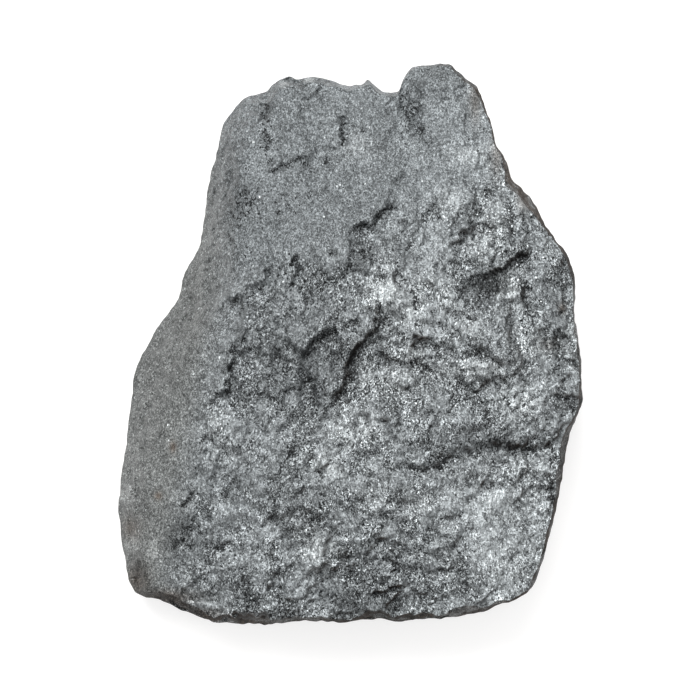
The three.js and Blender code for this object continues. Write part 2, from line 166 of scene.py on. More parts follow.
# points are [x, y] in millimetres as they are seen from the look elevation: x to the right, y up
stone = {
    "lookElevation": 80.0,
    "heart": (0.0, -2.0),  # the outline is drawn in towards this point
    "cells": 264,  # across the upper face, each way
    "edgeCrowding": 1.25,  # above 1 the cells crowd towards the outline
    "flankRows": 12,
    "undersideRows": 8,
    "undercut": 1.6,  # how far the underside stays inside the outline
    "undercutShare": 0.4,  # and what each millimetre of rim height adds to it
    "edgeEase": 1.1,  # how softly the fracture planes meet
    "smoothWest": 0.35,  # share of the roughness that the western flank keeps
    "westBorder": (-22.8, 0.18),  # x of the flank's border at y = 0, and its run to the right per mm up
    "westTurn": (5.0, 0.25),  # above this y the border turns back by so much
    "westWidth": 8.0,  # over which the flank passes into the break
    "northBorder": (19.0, 0.4),  # y of the dull north's border at x = 0, and its rise
    "northWidth": 9.0,
    "hacklyNorth": 0.45,  # height of the chips in the north, as a share of the rest
    "brightNorth": 0.12,  # how fresh the north looks
    "flankRoughness": 1.8,  # depth of the dents in the walls
    "ragged": 0.9,  # how far the ledges wander
    "raggedSpan": 4.5,  # and over what distance
    "shard": 1.1,  # the break's lines jump sideways from shard to shard of this size
    "shardJump": 0.8,
    "crackDepth": 0.4,
    "crackWidth": 0.3,
    "crackShade": [(0.95, 0.2), (0.2, 0.8)],  # weight, distance
    "rimWaves": [(5, 2.4, 27), (1.8, 1.2, 28)],  # wavelength, height, seed
    "waves": [(12, 1.6), (6, 0.9), (3, 0.45), (1.5, 0.34), (0.75, 0.2)],  # wavelength, height
    # flat chips of the break: size, tilt, step, seam, share of the tone, painted crack shade along the seam,
    # seed
    "chips": [
        (7.5, 0.12, 0.6, 0.5, 0.5, 0.25, 31), (3.6, 0.15, 0.45, 0.3, 0.6, 0.4, 131),
        (1.7, 0.17, 0.26, 0.2, 0.5, 0.2, 231), (0.85, 0.19, 0.17, 0.1, 0.35, 0.0, 331),
    ],
    "outline": [
        [33.1, -8.0], [32.9, -3.0], [32.1, 2.7], [32.1, 7.3], [31.7, 10.6], [30.4, 13.4], [28.6, 15.6],
        [27.1, 18.3], [25.9, 20.3], [24.3, 22.3], [23.0, 23.3], [22.1, 26.3], [20.9, 28.4], [20.1, 31.7],
        [19.0, 34.6], [17.9, 36.9], [15.9, 38.4], [14.1, 39.9], [11.4, 39.7], [9.1, 39.5], [7.7, 37.9],
        [6.9, 36.0], [5.4, 35.9], [4.0, 36.4], [2.7, 37.5], [1.6, 36.9], [-0.7, 36.9], [-2.9, 37.6],
        [-5.4, 38.1], [-7.3, 37.6], [-8.6, 38.1], [-10.3, 37.6], [-12.0, 36.1], [-14.6, 35.1],
        [-16.4, 33.9], [-18.0, 31.3], [-19.0, 27.7], [-20.3, 22.0], [-21.0, 17.4], [-21.7, 13.7],
        [-23.4, 10.3], [-24.6, 6.6], [-26.7, 3.3], [-28.6, 0.6], [-30.3, -3.4], [-31.3, -7.7],
        [-31.9, -13.7], [-33.0, -22.3], [-32.7, -26.6], [-32.0, -31.1], [-30.4, -35.4], [-26.4, -36.6],
        [-23.6, -38.1], [-18.3, -39.7], [-12.1, -39.9], [-5.4, -39.3], [-1.4, -39.7], [3.6, -39.1],
        [6.4, -39.4], [12.9, -39.1], [18.6, -38.3], [21.4, -37.0], [24.6, -35.9], [26.3, -33.6],
        [27.9, -29.0], [29.3, -23.4], [30.1, -18.7], [30.9, -14.6], [32.1, -10.9],
    ],
    # bearing from the heart, height of the outline, width of the shoulder inside it
    "edge": [
        (0, 8.0, 0.5), (32, 8.5, 0.5), (40, 8.8, 1.3), (47, 9.2, 1.2), (55, 9.5, 0.6), (70, 10.5, 0.6),
        (84, 10.0, 0.7), (102, 9.5, 1.2), (116, 7.5, 6.0), (145, 5.0, 8.0), (180, 3.5, 8.0),
        (215, 3.0, 6.0), (231, 5.0, 1.3), (238, 5.0, 1.2), (243, 4.5, 1.0), (246, 2.5, 2.6),
        (251.5, 2.5, 2.6), (255, 5.0, 0.9), (266, 8.0, 0.55), (275, 5.0, 1.1), (278, 4.5, 1.5),
        (285, 4.5, 1.4), (289, 6.5, 0.6), (293, 4.5, 1.5), (298, 5.0, 1.3), (304, 7.0, 0.55),
        (325, 6.5, 0.95), (338, 6.5, 0.95), (346, 7.0, 0.6),
    ],
    # fracture planes: a point, its height, the bearing it falls towards, its slope
    "facets": [
        ((4, 0), 21.5, 290, 3), ((-15, 4), 20.5, 172, 34), ((-2, 22), 20.0, 98, 20),
        ((17, 24), 19.5, 40, 17), ((23, 2), 20.5, 5, 15), ((3, -20), 19.0, 262, 14),
        ((-17, -22), 17.0, 222, 24), ((24, -25), 17.5, 315, 18),
    ],
    # steps of the break, high side on the left of the line: drop, width of the fall, reach of its swell, line
    "ledges": [
        (1.7, 0.7, 5, [[-1.4, 15.4], [1.7, 16.3], [4.0, 17.7], [7.1, 19.9]]),
        (1.3, 0.8, 4, [[-3.6, 7.7], [-1.7, 8.4], [-0.6, 10.3], [-0.4, 12.3], [0.4, 14.9]]),
        (1.3, 0.7, 4, [[-9.3, 6.7], [-8.4, 8.4], [-7.6, 10.6], [-7.3, 13.1]]),
        (1.9, 0.6, 5, [[18.3, 8.4], [20.3, 9.9], [23.1, 11.9], [25.0, 13.0], [26.9, 14.4]]),
        (1.9, 0.5, 6, [[-3.4, -9.4], [-1.4, -7.3], [-0.6, -4.6], [0.7, -2.0], [2.3, 0.3], [3.6, 2.7],
                       [3.2, 6.3]]),
        (1.3, 0.8, 3, [[-7.1, -2.6], [-5.7, -0.4], [-4.3, 1.0], [-2.4, 1.6], [-1.3, 0.6]]),
        (1.4, 1.1, 4, [[-21.0, -10.1], [-19.3, -8.3], [-17.4, -6.6], [-16.3, -4.0], [-16.1, -0.9],
                       [-15.6, 2.0]]),
        (1.4, 3.2, 6, [[6.4, -18.0], [10.0, -18.0], [12.9, -16.3], [16.4, -14.9], [20.0, -14.3],
                       [24.3, -15.0], [27.9, -13.7]]),
        (1.3, 1.2, 4, [[2.1, -0.9], [5.7, -2.0], [8.6, -2.6], [11.4, -3.7], [13.1, -5.4]]),
        (1.0, 0.7, 3, [[15.0, -1.1], [17.1, -1.1], [20.3, -1.0]]),
        (1.0, 0.7, 3, [[14.6, -6.4], [17.1, -6.1], [20.3, -5.1], [23.4, -3.6]]),
        (1.2, 0.9, 4, [[2.6, -36.3], [5.0, -35.1], [8.6, -34.3]]),
        (0.6, 1.2, 4, [[-13.6, -25.3], [-9.7, -24.6], [-7.1, -23.7], [-2.1, -24.6]]),
        (0.9, 1.6, 4, [[-26.4, -30.1], [-24.3, -27.3], [-22.1, -24.4], [-20.4, -20.9]]),
        (1.0, 0.8, 3, [[-1.1, 27.4], [-0.7, 29.1], [-1.0, 31.0], [0.9, 31.1]]),
        (1.0, 1.0, 4, [[16.4, 13.4], [17.1, 17.0], [16.3, 19.9]]),
        (1.0, 1.2, 4, [[25.0, 2.0], [24.7, 6.3], [24.3, 9.9]]),
        # smaller steps
        (0.7, 0.6, 2, [[12.9, 4.0], [15.0, 4.0], [17.4, 3.0]]),
        (0.7, 0.6, 2, [[5.0, -32.3], [7.4, -31.4]]),
        (0.5, 0.6, 2, [[-7.9, -27.3], [-5.4, -27.0], [-2.9, -25.4]]),
        (0.7, 0.7, 2, [[-22.1, -20.1], [-21.4, -15.1], [-20.4, -11.6]]),
        (0.8, 0.6, 2, [[9.3, 31.3], [8.7, 32.7], [8.4, 34.4]]),
        (0.6, 0.6, 2, [[11.4, 27.7], [10.7, 30.6]]),
        (0.6, 0.6, 3, [[-11.4, 23.7], [-9.3, 24.9], [-7.1, 25.9], [-5.0, 26.6]]),
        (0.4, 0.5, 2, [[-20.0, -29.0], [-18.3, -28.4], [-15.7, -28.3]]),
        (0.6, 0.5, 2, [[-13.1, -2.4], [-11.7, -2.9], [-10.9, -1.7], [-10.1, -0.3]]),
    ],
    # open cracks: how black their painted shade is, line
    "cracks": [
        (1.1, [[-12.1, 34.4], [-12.0, 31.5]]), (0.8, [[-12.6, 31.0], [-11.9, 28.4], [-12.0, 26.3]]),
        (0.6, [[-11.9, 23.9], [-10.0, 24.6], [-7.9, 25.4]]), (0.6, [[-10.9, 26.3], [-11.7, 25.3]]),
        (0.6, [[-7.1, 25.6], [-5.4, 25.1]]), (0.8, [[-3.3, 26.7], [-3.6, 25.0]]),
        (0.9, [[-1.1, 31.0], [-0.9, 27.7]]), (0.7, [[-0.9, 31.1], [1.0, 31.0]]),
        (0.7, [[1.4, 30.1], [1.9, 29.6]]), (0.6, [[-9.1, 21.1], [-8.7, 20.1]]),
        (0.6, [[-11.4, 17.7], [-9.3, 18.9], [-7.1, 19.9]]), (0.6, [[-6.4, 21.3], [-4.9, 20.4]]),
        (0.5, [[-17.9, 19.9], [-15.7, 20.6], [-14.0, 21.7]]), (0.6, [[-17.6, 15.6], [-16.6, 14.1]]),
        (0.5, [[-12.6, 15.1], [-11.1, 14.0]]), (0.9, [[-7.9, 13.1], [-7.6, 9.6]]),
        (0.7, [[1.6, 13.4], [1.7, 11.1]]), (0.85, [[8.6, 9.4], [8.9, 7.0], [9.7, 3.4], [10.7, -0.4]]),
        (0.85, [[2.9, 6.3], [5.0, 4.1], [6.7, 1.7], [8.9, -0.9]]),
        (0.9, [[14.6, 4.1], [16.1, 4.1], [17.6, 3.1]]), (0.7, [[20.7, -5.9], [22.9, -9.4]]),
        (0.8, [[17.9, -8.0], [20.0, -10.9]]), (0.6, [[12.4, -7.3], [10.7, -9.4]]),
        (0.9, [[20.9, 10.6], [20.6, 6.7]]), (0.8, [[23.9, 10.3], [24.6, 5.6]]),
        (0.7, [[27.1, -17.3], [28.7, -20.9], [28.0, -25.4]]),
        (0.7, [[11.0, -25.9], [12.6, -27.0], [13.7, -26.6]]),
        (0.7, [[15.0, -28.7], [16.0, -33.0], [16.9, -34.9]]),
        (0.7, [[5.3, -30.1], [6.6, -31.9], [5.4, -32.6]]), (0.6, [[10.7, -34.0], [12.4, -35.9]]),
        (0.8, [[4.3, -18.0], [11.4, -17.6], [15.0, -16.1]]),
        (0.9, [[20.3, -13.4], [23.6, -14.6], [27.4, -15.4]]),
        (1.1, [[-24.3, -23.0], [-22.6, -21.9], [-21.6, -21.1]]), (0.7, [[-22.1, -14.7], [-19.7, -13.0]]),
        (0.6, [[-16.4, -13.0], [-14.0, -12.4]]), (0.8, [[-5.6, -17.4], [-5.4, -14.4]]),
        (0.7, [[-5.3, -18.0], [-3.4, -19.1]]), (0.6, [[-9.0, -19.4], [-10.4, -23.3], [-11.0, -26.1]]),
        (0.8, [[0.0, -30.1], [1.4, -32.0]]), (0.6, [[-8.3, -15.1], [-9.9, -19.1]]),
        (0.9, [[-6.1, -1.3], [-5.0, 0.3], [-4.0, 1.4], [-2.0, 1.4]]),
        (0.7, [[-6.3, -3.7], [-4.9, -2.7], [-2.9, -2.4]]), (0.5, [[-4.0, -5.4], [-2.9, -4.9]]),
        (0.7, [[-5.7, -4.1], [-5.9, -6.1], [-5.1, -9.0], [-3.7, -9.7]]),
        (0.7, [[0.9, -8.3], [2.1, -6.7], [3.3, -5.7]]),
        (0.6, [[-3.7, -9.7], [-1.6, -8.0], [-1.0, -6.1], [0.3, -4.0], [0.9, -1.4], [3.8, 3.0]]),
        (0.9, [[10.4, 1.3], [11.1, -0.6], [12.9, -0.4], [15.7, -1.9], [17.1, -1.1], [20.0, -1.3]]),
        (0.8, [[19.0, 14.6], [21.0, 13.1]]), (0.7, [[15.0, 15.9], [16.1, 14.6]]),
        (0.7, [[13.9, 11.6], [16.0, 11.0]]), (0.9, [[-25.6, -29.4], [-24.3, -28.6], [-23.6, -27.4]]),
        (0.9, [[-19.9, -29.1], [-17.6, -28.6], [-16.0, -28.0]]),
    ],
    # narrow clefts: depth, width, line
    "furrows": [
        (1.1, 1.3, [[6.1, 36.6], [8.6, 33.1], [10.7, 29.4], [12.1, 26.3]]),
        (0.8, 0.9, [[-6.4, -2.3], [-6.0, -5.1], [-5.3, -8.0], [-3.6, -9.7]]),
        (0.9, 1.2, [[28.6, -6.6], [29.4, -4.0], [30.0, -0.9], [30.4, 2.0]]),
    ],
    # lumps, and pits with a negative rise: centre, half sizes, turn, rise
    "lumps": [
        ((-2.9, -6.2), (1.6, 2.6), -8, 1.2), ((19.6, 7.0), (1.9, 1.6), 30, -1.3),
        ((14.0, 36.0), (4.5, 3.5), 0, 1.0), ((-5.0, 36.5), (5.0, 2.5), 0, 0.8),
        ((18.0, -2.9), (4.5, 1.3), 5, 0.8), ((6.0, -7.0), (5.0, 4.0), 20, 1.0),
        ((-18.5, -14.5), (3.0, 4.0), -30, 0.9), ((-4.5, -29.5), (3.5, 3.0), 0, 0.9),
        ((7.0, 6.0), (4.0, 3.5), -30, 0.8), ((27.0, -10.0), (3.5, 2.5), 40, 0.8),
    ],
    # painted highlights where fresh cleavage catches the light, and is smoother: centre, half sizes, strength
    "paintedGlintsAndCleavage": [
        ((5.2, 6.9), (2.8, 2.9), 1.0), ((7.9, 4.3), (2.8, 2.3), 0.85), ((10.7, 8.0), (2.4, 2.0), 0.7),
        ((13.3, 6.3), (2.0, 1.8), 0.8), ((16.4, 2.3), (2.4, 1.8), 0.75), ((20.0, 16.0), (2.4, 3.8), 0.7),
        ((18.3, 13.4), (2.2, 1.9), 0.6), ((22.4, 8.2), (2.0, 2.7), 0.9), ((6.4, -5.4), (3.5, 2.2), 0.8),
        ((17.9, -3.7), (5.4, 1.6), 0.9), ((24.3, -8.7), (2.8, 2.6), 0.8), ((-4.3, -29.4), (2.7, 2.4), 1.0),
        ((-19.3, -11.6), (2.2, 1.9), 0.7), ((-18.3, -15.1), (2.2, 1.9), 0.6),
        ((-4.0, -16.6), (2.7, 1.6), 0.6), ((-0.7, -13.0), (3.0, 2.4), 0.6), ((2.2, -12.0), (2.6, 2.2), 0.7),
        ((9.3, -23.0), (2.7, 2.2), 0.6), ((26.4, -17.7), (2.4, 2.4), 0.6),
        ((21.4, -22.3), (6.8, 5.4), 0.38), ((21.4, -30.9), (6.8, 5.4), 0.38),
        ((25.7, -0.1), (2.7, 2.2), 0.6), ((31.4, -0.1), (1.6, 3.2), 0.8), ((17.1, 26.6), (3.2, 1.6), 0.4),
        ((0.7, 28.0), (2.4, 1.9), 0.4), ((14.3, 19.9), (2.2, 1.9), 0.5), ((2.6, -4.6), (1.4, 2.2), 0.7),
        ((-22.8, -22.5), (1.2, 1.6), 0.7), ((-22.9, -33.0), (0.8, 2.0), 0.6),
        ((-2.3, -17.4), (1.6, 1.6), 0.85), ((3.5, -20.0), (2.2, 3.5), 0.4), ((-9.4, 36.9), (0.7, 0.5), 0.9),
        ((-5.7, 37.7), (0.7, 0.5), 0.9), ((8.9, -1.6), (1.6, 1.6), 0.8),
    ],
    # zones of painted shade and light, and of the face's own tone: centre, half sizes, turn, change of the
    # tone
    "zones": [
        ((-8.0, 1.0), (7.0, 7.0), 30, -0.25), ((-2.5, -3.5), (3.0, 5.0), -20, -0.25),
        ((20.0, -13.6), (9.0, 2.6), -6, -0.35), ((-5.0, -22.0), (9.0, 4.0), 0, -0.2),
        ((19.0, 8.6), (2.8, 2.2), 35, -0.7), ((2.5, -37.0), (6.0, 2.5), 10, -0.35),
        ((29.5, 4.5), (2.0, 3.0), 0, -0.3), ((13.0, -31.0), (2.6, 2.4), 0, -0.35),
        ((18.6, -18.0), (2.2, 1.4), 0, -0.35), ((-16.0, 20.5), (3.0, 3.0), 0, -0.2),
        ((0.6, 12.0), (1.8, 2.6), 0, -0.3), ((-18.0, -27.0), (8.0, 7.0), 0, 0.03),
        ((20.5, -26.0), (10.0, 9.0), 0, 0.3), ((14.0, 31.0), (7.0, 8.0), 0, 0.18),
        ((24.0, 24.0), (3.0, 9.0), 30, 0.4), ((-23.5, -31.0), (1.6, 1.6), 0, -0.4),
        ((-24.0, -25.2), (1.3, 2.6), -25, -0.5), ((-8.0, -25.0), (3.0, 2.5), 0, -0.25),
        ((-1.0, -35.5), (3.5, 2.0), 0, -0.25), ((-5.0, 17.0), (8.0, 6.0), 0, -0.1),
        ((-27.7, -29.2), (1.0, 1.8), 0, 0.9), ((-31.0, -28.6), (0.9, 0.7), 0, 0.9),
        ((-31.7, -21.6), (0.8, 1.2), 0, 0.8), ((-29.8, -32.0), (1.2, 2.2), 10, -0.4),
        ((-27.0, -36.0), (4.5, 1.4), -15, -0.45),
    ],
    # stretches with many small pits: centre, half sizes, strength
    "pitted": [
        ((-15.2, 18.5), (3.2, 8.0), 1.0), ((8.4, 32.0), (2.2, 4.5), 0.5), ((-5.0, 25.2), (4.0, 1.8), 0.8),
        ((-12.0, 29.0), (1.4, 5.0), 0.9), ((-7.5, 19.5), (4.0, 2.0), 0.8), ((-9.0, 9.0), (5.0, 4.0), 0.5),
        ((-23.4, -26.5), (1.6, 4.0), 0.9), ((20.0, -14.0), (8.0, 1.8), 0.9),
        ((-23.0, -32.0), (1.8, 1.8), 0.8),
    ],
    # stretches with flatter chips: centre, half sizes, share of the height that they lose
    "flatter": [
        ((20.5, -26.0), (9.0, 8.0), 0.6), ((-19.5, -32.5), (6.0, 3.5), 0.6),
        ((23.0, -33.0), (6.0, 4.0), 0.7), ((-8.8, -22.6), (3.6, 3.4), 0.7),
        ((-16.8, -25.2), (3.4, 2.4), 0.7),
    ],
    # even stretches of the finish: centre, half sizes, share of the grain that they lose
    "even": [
        ((20.5, -26.0), (9.0, 8.0), 0.5), ((9.5, 13.0), (7.0, 5.0), 0.5), ((14.0, 7.5), (5.0, 4.0), 0.35),
        ((-9.0, 2.0), (8.0, 8.0), 0.45), ((-13.5, -14.5), (6.5, 6.0), 0.4),
    ],
    # brown stains, and brown painted shade at the lower left corner: centre, half sizes, strength
    "stainsAndPaintedShade": [
        ((-30.2, -33.8), (1.7, 2.4), 0.75), ((-26.0, -36.0), (4.5, 1.2), 0.8),
        ((-25.0, -14.7), (0.5, 0.8), 1.0), ((-27.1, -21.6), (0.6, 0.6), 1.0),
        ((30.0, 4.9), (0.6, 0.8), 0.8), ((-20.0, -38.2), (2.6, 0.8), 0.5), ((24.6, 20.6), (1.0, 2.2), 0.6),
        ((28.2, -0.3), (1.4, 0.9), 0.4), ((17.8, 34.4), (0.9, 3.0), 0.5), ((20.8, 26.8), (0.9, 3.2), 0.5),
        ((-31.2, -26.2), (1.5, 1.6), 0.6),
    ],
}


def broadForm(x, y):
    # the lowest of the fracture planes; their exponentials are added, so that the edges between them are
    # eased
    total = np.zeros_like(x)
    for at, z, towards, slope in stone["facets"]:
        bearing = np.radians(towards)
        away = (x - at[0]) * np.cos(bearing) + (y - at[1]) * np.sin(bearing)
        total += np.exp(-(z - np.tan(np.radians(slope)) * away) / stone["edgeEase"])
    return -stone["edgeEase"] * np.log(total)


def brokenRelief(x, y):
    # each ledge swells to its lip, drops and runs out again; furrows are bells across their lines.
    # Also gives how deep in the shade of one of them a point lies
    relief, shade = np.zeros_like(x), np.zeros_like(x)
    for drop, fall, reach, line in stone["ledges"]:
        signed, fade = beside(line, x, y)
        step = ease(signed / (0.6 * fall) + 0.5) - 0.5
        relief += drop * step * np.exp(-np.abs(signed) / reach) * fade
        away = np.abs(signed + 0.2 * fall)  # from the foot, just below the lip
        foot = shadow(away, [(0.65, 0.2 + 0.1 * fall), (0.35, 0.4 + 0.5 * drop)])
        steepness = np.clip(drop / (1.2 + 0.45 * fall), 0, 1)
        shade = np.maximum(shade, steepness * foot * fade)
    for depth, width, line in stone["furrows"]:
        signed, fade = beside(line, x, y)
        bell = np.exp(-((signed / width) ** 2)) * fade
        relief -= depth * bell
        shade = np.maximum(shade, 0.5 * bell**2)
    return relief, shade


def openCracks(x, y):
    # narrow bells across the lines of the cracks, and their shade
    relief, shade = np.zeros_like(x), np.zeros_like(x)
    for black, line in stone["cracks"]:
        signed, fade = beside(line, x, y, 0.2)
        relief -= stone["crackDepth"] * black * np.exp(-((signed / stone["crackWidth"]) ** 2)) * fade
        shade = np.maximum(shade, black * shadow(np.abs(signed), stone["crackShade"]) * fade)
    return relief, shade


def westOf(x, y):
    # 0 on the smooth western flank and 1 on the rest, across a border that leans to the right and turns back
    start, lean = stone["westBorder"]
    turn, back = stone["westTurn"]
    border = start + lean * y - back * np.maximum(0, y - turn)
    return ease((x - border) / stone["westWidth"])


def freshOf(x, y, north):
    # 0 on the smooth western flank, a given share in the north, 1 on the rest
    start, rise = stone["northBorder"]
    return westOf(x, y) * mix(north, 1, ease((start + rise * x - y) / stone["northWidth"]))


def faceHeight(x, y):
    # broad form + ledges, furrows, cracks and lumps along ragged lines + waves and chips, calmer in the west;
    # gives the height, the shade, and the tone of the chips
    span, shard = stone["raggedSpan"], stone["shard"]
    wanderX = x + stone["ragged"] * noise(x / span, y / span, 11)
    wanderY = y + stone["ragged"] * noise(x / span, y / span, 12)
    fineX = layered(x, y, [(1.6, 0.8, 13), (0.7, 0.6, 15)])
    fineY = layered(x, y, [(1.6, 0.8, 14), (0.7, 0.6, 16)])
    fineX = fineX + stone["shardJump"] * (chips(x, y, shard, 0, 0, 1, 401)[1] - 0.5)
    fineY = fineY + stone["shardJump"] * (chips(x, y, shard, 0, 0, 1, 421)[1] - 0.5)
    relief, shade = brokenRelief(wanderX + fineX, wanderY + fineY)
    crackRelief, crackShade = openCracks(x + 0.7 * fineX, y + 0.7 * fineY)
    relief, shade = relief + crackRelief, np.maximum(shade, crackShade)
    # the shade comes and goes along its lines
    shade = shade * np.clip(0.9 + layered(x, y, [(1.8, 1.0, 41), (0.9, 0.8, 42)]), 0, 1.15)
    for at, half, turn, rise in stone["lumps"]:
        relief += rise * spot(x, y, at, half, turn)
    rough = np.zeros_like(x)
    calm = mix(stone["smoothWest"], 1, westOf(x, y))
    for k, (wave, height) in enumerate(stone["waves"]):
        rough += height * noise(x / wave, y / wave, k) * (calm if wave > 2 else calm**2)
    hackly, tone = np.zeros_like(x), np.full_like(x, 0.5)
    hackle = freshOf(x, y, stone["hacklyNorth"])
    for at, half, loss in stone["flatter"]:
        hackle = hackle * (1 - loss * spot(x, y, at, half))
    for size, tilt, step, seam, share, paintedCrackAndPitShade, seed in stone["chips"]:
        height, own, gap = chips(x, y, size, tilt, step, seam, seed)
        hackly += height
        tone += share * (own - 0.5)
        # some stretches of the seams are open, and painted with shade
        opened = ease((noise(x / size, y / size, seed + 10) + 0.02) / 0.15)
        shade = np.maximum(shade, paintedCrackAndPitShade * opened * hackle * np.exp(-gap / 0.35))
    return broadForm(x, y) + relief + rough + hackly * hackle, shade, tone


def outlineAt(turn):
    # the point of the smoothed outline at a share of its length, from 0 to 1
    line = smoothLine(stone["outline"], closed=True, perSpan=24)
    steps = np.concatenate([[0], np.cumsum(np.hypot(*np.diff(line, axis=0).T))])
    along = turn * steps[-1]
    return np.interp(along, steps, line[:, 0]), np.interp(along, steps, line[:, 1])


def edgeAt(bearing):
    # rim height and shoulder width, eased from one station to the next
    stations = np.array(stone["edge"], float)
    stations = np.vstack([stations, stations[:1] + [360, 0, 0]])
    k = np.clip(np.searchsorted(stations[:, 0], bearing, side="right") - 1, 0, len(stations) - 2)
    share = ease((bearing - stations[k, 0]) / (stations[k + 1, 0] - stations[k, 0]))
    return (mix(stations[k, c], stations[k + 1, c], share) for c in (1, 2))


def planY(y, z):
    # seen y and height give the plan: y = (seen - z cos e) / sin e
    e = np.radians(stone["lookElevation"])
    return (y - z * np.cos(e)) / np.sin(e)


def smoothed(z, passes):
    # the mean of each point and its four neighbours on the grid, taken over and over
    for _ in range(passes):
        p = np.pad(z, 1, mode="edge")
        z = (p[1:-1, 1:-1] + p[:-2, 1:-1] + p[2:, 1:-1] + p[1:-1, :-2] + p[1:-1, 2:]) / 5
    return z


def facePoints(u, v):
    # the square from -1 to 1 is pressed to a disc, x = u sqrt(1 - v^2/2), y = v sqrt(1 - u^2/2); the disc's
    # radius runs from the heart to the outline, and the height turns down to the rim over the shoulder.
    # Gives the points, the shade, the tone of the chips and where the walls are brown with rust and painted
    # shade
    across, up = u * np.sqrt(1 - v * v / 2), v * np.sqrt(1 - u * u / 2)
    share = 1 - (1 - np.minimum(1, np.hypot(across, up))) ** stone["edgeCrowding"]
    edgeX, edgeY = outlineAt(np.mod(np.arctan2(up, across) / (2 * np.pi), 1))
    hx, hy = stone["heart"]
    ex, ey = edgeX - hx, edgeY - hy
    outX, outY = ex / np.hypot(ex, ey), ey / np.hypot(ex, ey)
    rim, shoulder = edgeAt(np.mod(np.degrees(np.arctan2(ey, ex)), 360))
    sharp = ease((4 - shoulder) / 2)  # the broad western shoulder stays even
    rim = rim + sharp * layered(edgeX, edgeY, stone["rimWaves"])
    jag = layered(edgeX, edgeY, [(0.8, 0.2 + 0.06 * sharp, 61), (2.4, 0.4 - 0.2 * sharp, 62)])
    jag = jag * share**40  # only at the very edge
    x, y = hx + share * ex + jag * outX, hy + share * ey + jag * outY
    uneven = layered(edgeX, edgeY, [(4, 0.6, 22), (1.4, 0.5 * sharp, 24)])
    width = shoulder + np.minimum(shoulder, 2.5) * uneven
    inside = (1 - share) * np.hypot(ex, ey) / width
    bumpy = layered(x, y, [(1.5, 0.5, 63), (0.6, 0.4, 64)])
    inside = np.clip(inside + bumpy * ease(inside * 3) / np.maximum(1, width / 2), 0, 1)
    turned = np.sin(inside * np.pi / 2)
    face, shade, tone = faceHeight(x, y)
    z = mix(rim, np.maximum(face, rim), turned)
    # the walls are dented inwards
    dent = 0.5 + noise((x + y) / 3, z / 3, 23) + 0.5 * noise((x + y) / 1.2, z / 1.1, 25)
    dent = 0.5 * stone["flankRoughness"] * sharp * dent * np.sin(np.pi * inside)
    # painted shade in the hollows of the break, where the height lies below its mean around
    hollow = np.clip((smoothed(z, 24) - z) / 0.4, 0, 1) * freshOf(x, y, stone["hacklyNorth"])
    shade = np.maximum(shade, 0.38 * hollow) * turned
    # the walls facing south and east, away from the softbox, are brown: partly rust, partly painted shade
    south, east = np.clip(-1.4 * outY, 0, 1) * ease((ex + 32) / 8), ease((ex - 10) / 6)
    points = np.stack([x - dent * outX, planY(y, z) - dent * outY, z], -1)
    return points, shade, tone, np.maximum(south, east)


def wornAt(points):
    # how far the walls are brown with rust and painted shade, from 0.6 to 1: noise along the wall and up
    # it, in patches of a few millimetres
    along, z = points[:, 0] + points[:, 1], points[:, 2]
    patch = noise(along / 6, z / 4, 29) + 0.5 * noise(along / 2, z / 1.6, 30)
    return mix(0.6, 1, ease((patch + 0.3) / 0.4))


def flankPoints(rim, share):
    # below the outline the flank draws in along a quarter round to the flat underside: share 1 to 0
    inward = -rim[..., :2] / np.linalg.norm(rim[..., :2], axis=-1, keepdims=True)
    z = rim[..., 2] * share
    dent = 0.5 + noise((rim[..., 0] + z) / 3.5, (rim[..., 1] - z) / 3.5, 21)
    dent = dent + 0.45 * noise((rim[..., 0] + z) / 1.2, (rim[..., 1] - 2 * z) / 1.2, 26)
    dent = stone["flankRoughness"] * dent * np.sin(np.pi * share)
    drawnIn = stone["undercut"] + stone["undercutShare"] * rim[..., 2]
    step = drawnIn * (1 - np.sqrt(1 - (1 - share) ** 2)) + dent
    return np.concatenate([rim[..., :2] + inward * step[..., None], z[..., None]], -1)


def quads(numbers):
    # the corners of every cell of a grid of point numbers, counter-clockwise
    corners = [numbers[:-1, :-1], numbers[:-1, 1:], numbers[1:, 1:], numbers[1:, :-1]]
    return np.stack(corners, -1).reshape(-1, 4)


